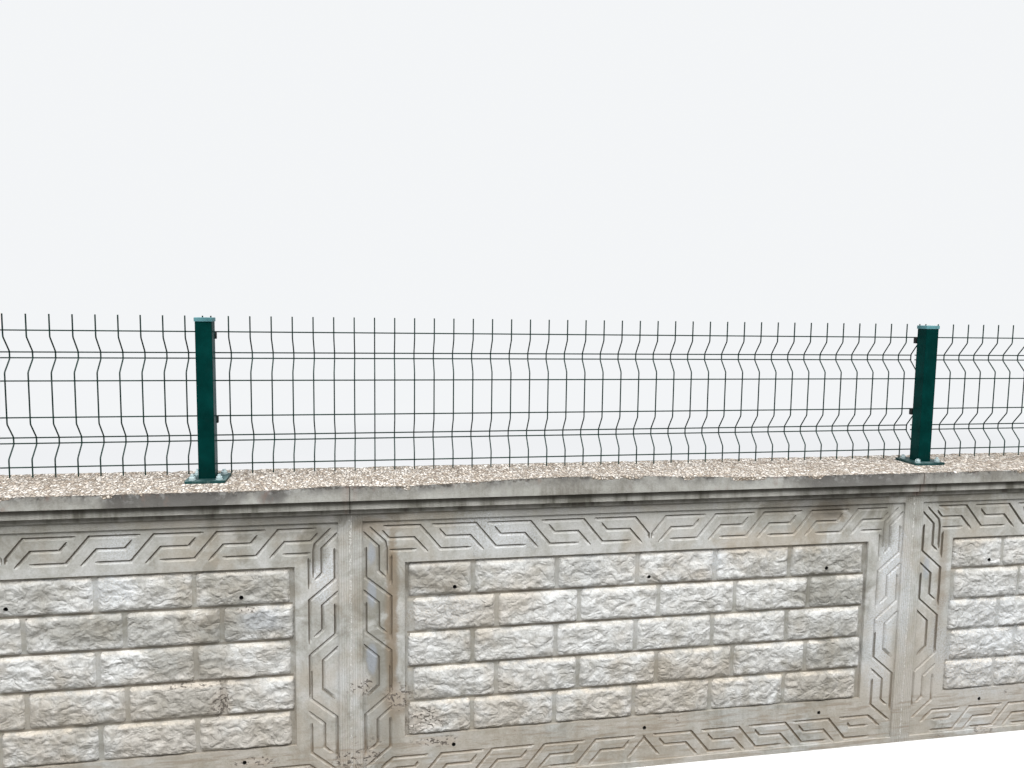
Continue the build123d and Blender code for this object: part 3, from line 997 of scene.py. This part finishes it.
# The top is pebbly and sinks in places, but stays flat under the base plates' seats
def makeCoping(number, s, seats):
    start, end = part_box(f"coping_{number}")
    x0, x1 = start.x / mm, end.x / mm
    halfWidth, fasciaFoot = s["steps"][-1]
    wide, deep = s["swellSize"]
    waverWide, waverHigh = s["faceWaverSize"]
    grain = s["pebbleSize"]
    columns = round((x1 - x0) / s["column"])
    profile = copingProfile(s)
    bm = bmesh.new()
    bmesh.ops.create_grid(bm, x_segments=columns, y_segments=len(profile) - 1, size=0.5)
    for v in bm.verts:
        x = x0 + (v.co.x + 0.5) * (x1 - x0)
        y, z = profile[round((v.co.y + 0.5) * (len(profile) - 1))]
        side = 1 if y > 0 else -1
        atEdge = max(0, 1 - max(halfWidth - abs(y), wallTop - z) / s["edgeReach"])
        rise = riseAt(x) * max(0, min(1, (s["riseFrom"] - y) / s["riseOver"]))
        rise = rise * max(0, z - fasciaFoot) / (wallTop - fasciaFoot)
        pebble = 0.5 + 0.8 * noise.noise(Vector((x / grain, y / grain, z / grain)))
        swell = 0.5 + noise.noise(Vector((x / wide, y / deep, 3.0)))
        chip = max(0, noise.noise(Vector((x / s["chipSize"], side * 4.0, 8.0))) - s["chipFrom"])
        chip = chip * 2 + s["pebbleShare"] * pebble
        bigChip = noise.noise(Vector((x / s["bigChipSize"], side * 7.0, 2.0)))
        bigChip = max(0, bigChip - s["bigChipFrom"]) * (s["bigChip"] * (0.4 + pebble))
        seat = min(max(abs(x - sx), abs(y - sy)) for sx, sy in seats)
        free = min(1, max(0, (seat - s["seatHalf"]) / s["seatFade"]))
        down = inward = 0.0
        if z > wallTop - 1:
            down = max(0, pebble) * s["pebble"] + max(0, swell) * s["swell"] * free
            down *= max(free, s["seatPebble"])
            down *= 1 - s["edgeHold"] * min(1, atEdge * 1.6)
        if atEdge:
            down += atEdge * (chip * s["chip"] + bigChip) * (z > s["chipAbove"])
            inward = atEdge * max(0, chip * s["chip"] * s["chipInward"] + bigChip)
        elif abs(y) > halfWidth - 1:
            waver = noise.noise(Vector((x / waverWide, z / waverHigh, side)))
            inward = max(0, s["faceWaver"] + s["faceWaver"] * waver)
        v.co = Vector((x * mm, (y - side * inward) * mm, (z + rise - down) * mm))
    lengthwise = [e for e in bm.edges if abs(e.verts[0].co.x - e.verts[1].co.x) > 1e-6]
    rims = [e for e in lengthwise if e.is_boundary]
    bmesh.ops.bridge_loops(bm, edges=rims)
    bmesh.ops.holes_fill(bm, edges=[e for e in bm.edges if e.is_boundary], sides=0)
    bmesh.ops.recalc_face_normals(bm, faces=bm.faces)
    print("coping", number, len(bm.faces), "open", sum(1 for e in bm.edges if not e.is_manifold))
    addPiece(f"rough_coping_{number}", bm, [copingStone], [f"coping_{number}"], 50)


plateMiddles = []
for number in range(1, 5):
    a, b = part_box(f"base_plate_{number}")
    plateMiddles.append(((a.x + b.x) / 2 / mm, (a.y + b.y) / 2 / mm))
for number in range(1, 6):
    makeCoping(number, copingSettings, plateMiddles)

print("stage: fence panels")

# Round wires: folded uprights in front, straight level wires welded behind them
wireSettings = {
    "radius": 2.2, "sides": 8,
    "tip": 1032.0,
    "levels": [32, 100.5, 118.5, 187, 300, 368.5, 386.5, 455],
    "height": 505,
    "flatY": 37.55, "fold": 38.0, "noseMargin": 2.5, "aboveWire": 26.0, "belowWire": 20.0,
    "bendRadius": 9.0, "bendSteps": 3,
    "pitch": 65.0, "rowCount": 38, "overhang": 5.0,
    "weldSunk": 0.6, "sway": 0.7, "swaySize": 300,
}


def wireRoute(s):
    points = [(0, 0)]
    for lower, lowNose, highNose, upper in (s["levels"][:4], s["levels"][4:]):
        points += [(0, lower + s["aboveWire"]), (s["fold"], lowNose - s["noseMargin"]),
                   (s["fold"], highNose + s["noseMargin"]), (0, upper - s["belowWire"])]
    points.append((0, s["height"]))
    route = [Vector(points[0])]
    for before, here, after in zip(points, points[1:], points[2:]):
        here = Vector(here)
        back, ahead = (Vector(before) - here).normalized(), (Vector(after) - here).normalized()
        start, end = here + back * s["bendRadius"] * 0.5, here + ahead * s["bendRadius"] * 0.5
        for i in range(s["bendSteps"] + 1):
            t = i / s["bendSteps"]
            route.append(start * (1 - t) ** 2 + here * 2 * t * (1 - t) + end * t * t)
    route.append(Vector(points[-1]))
    return route


def sweepWire(bm, route, s, placeAt):
    cap = None
    for i, point in enumerate(route):
        before = (point - route[i - 1]).normalized() if i > 0 else None
        after = (route[i + 1] - point).normalized() if i < len(route) - 1 else None
        sides = [Vector((d.y, -d.x)) for d in (before, after) if d is not None]
        across = (sides[0] + sides[-1]) / (1 + sides[0].dot(sides[-1]))
        ring = []
        for k in range(s["sides"]):
            turn = 2 * math.pi * (k + 0.5) / s["sides"]
            spot = point + across * (s["radius"] * math.cos(turn))
            ring.append(placeAt(spot, s["radius"] * math.sin(turn)))
        if cap is None:
            cap = bm.faces.new([bm.verts.new(co) for co in ring])
            continue
        cap = nextCap(bm, cap, ring)


def makePanel(number, s):
    a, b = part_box(f"mesh_panel_{number}")
    x0, x1 = a.x / mm + s["overhang"], b.x / mm - s["overhang"]
    r = s["radius"]
    first = x0 + (x1 - x0 - (s["rowCount"] - 1) * s["pitch"]) / 2
    places = [x0] + [first + i * s["pitch"] for i in range(s["rowCount"])] + [x1]
    route = wireRoute(s)
    bm = bmesh.new()
    for x in places:
        sway = s["sway"] * noise.noise(Vector((x / s["swaySize"], number, 2)))
        sweepWire(bm, route, s, lambda p, side: Vector(
            ((x + side + sway * p.y / 500) * mm, (s["flatY"] + r + p.x) * mm, (s["tip"] + p.y) * mm)))
    for level, height in enumerate(s["levels"]):
        deep = s["flatY"] + 3 * r - s["weldSunk"] + (s["fold"] if level % 4 in (1, 2) else 0)
        span = [Vector((x0 - s["overhang"], 0)), Vector((x1 + s["overhang"], 0))]
        sweepWire(bm, span, s, lambda p, side: Vector(
            (p.x * mm, (deep + side) * mm, (s["tip"] + height + p.y) * mm)))
    bmesh.ops.recalc_face_normals(bm, faces=bm.faces)
    print("panel", number, len(bm.faces), "open", sum(1 for e in bm.edges if not e.is_manifold))
    addPiece(f"wire_panel_{number}", bm, [wireGreen], [f"mesh_panel_{number}"], 60)


for number in range(1, 4):
    makePanel(number, wireSettings)

print("stage: posts, plates, anchors")

anchorSettings = {
    "reach": 40.0, "stud": 5.0, "studHeight": 17.0, "nutWide": 17.0, "nutHigh": 8.0,
    "washer": 10.5, "washerHigh": 2.0, "sunk": 12.0, "bevel": 0.5,
}


def addRod(bm, middle, radius, height, sides, turn=0.0):
    place = Matrix.Translation((middle[0] * mm, middle[1] * mm, (middle[2] + height / 2) * mm))
    place = place @ Matrix.Rotation(turn, 4, "Z")
    bmesh.ops.create_cone(bm, cap_ends=True, segments=sides, radius1=radius * mm, radius2=radius * mm,
                          depth=height * mm, matrix=place)


def makeAnchors(number, s):
    a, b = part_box(f"base_plate_{number}")
    x, y, z = (a.x + b.x) / 2 / mm, (a.y + b.y) / 2 / mm, b.z / mm
    bm = bmesh.new()
    for dx in (-s["reach"], s["reach"]):
        for dy in (-s["reach"], s["reach"]):
            tall = s["studHeight"] + random.uniform(-4, 2)
            corner = s["nutWide"] / math.sqrt(3)
            addRod(bm, (x + dx, y + dy, z - s["sunk"]), s["stud"], s["sunk"] + tall, 16)
            addRod(bm, (x + dx, y + dy, z), s["washer"], s["washerHigh"], 24)
            addRod(bm, (x + dx, y + dy, z + s["washerHigh"]), corner, s["nutHigh"], 6,
                   random.uniform(0, 1))
    edges = [e for e in bm.edges if e.calc_face_angle(0) > 0.6]
    bmesh.ops.bevel(bm, geom=edges, offset=s["bevel"] * mm, offset_type="OFFSET", segments=1,
                    profile=0.5, affect="EDGES", material=-1)
    addPiece(f"anchor_bolts_{number}", bm, [boltGreen], (), 40)


for number in range(1, 5):
    makeAnchors(number, anchorSettings)

# Panel clips: rounded, a little narrower and higher than the plain clamps that they stand for
clipSettings = {"above": 4.5, "high": 24.0, "narrower": 3.0, "outerFrom": 20.0, "round": 1.3}


def makeClips(number, s):
    a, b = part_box(f"post_{number}")
    middle = (a.x + b.x) / 2
    bm = nodeMesh(f"panel_clips_{number}")
    tops = [max(v.co.z for v in bm.verts)]
    tops.append(tops[0] - (wireSettings["levels"][7] - wireSettings["levels"][3]) * mm)
    for v in bm.verts:
        top = min(tops, key=lambda z: abs(z - v.co.z))
        v.co.z = top + (s["above"] - (s["high"] if v.co.z < top - 1 * mm else 0)) * mm
        if abs(v.co.x - middle) > s["outerFrom"] * mm:
            v.co.x -= math.copysign(s["narrower"] * mm, v.co.x - middle)
    bmesh.ops.bevel(bm, geom=bm.edges[:], offset=s["round"] * mm, offset_type="OFFSET", segments=2,
                    profile=0.5, affect="EDGES", material=-1)
    print("clips", number, len(bm.faces), "open", sum(1 for e in bm.edges if not e.is_manifold))
    addPiece(f"rounded_clips_{number}", bm, [clipBlack], [f"panel_clips_{number}"], 40)


for number in range(1, 5):
    makeClips(number, clipSettings)


# CAD nodes that stay in sight get their material here
def paintNodes(prefix, material):
    for name, node in nodes.items():
        if name.startswith(prefix):
            node.data.materials.clear()
            node.data.materials.append(material)


for number in range(1, 5):
    paintNodes(f"post_{number}", postGreen)
paintNodes("base_plate", plateGreen)
paintNodes("post_cap", capGreen)
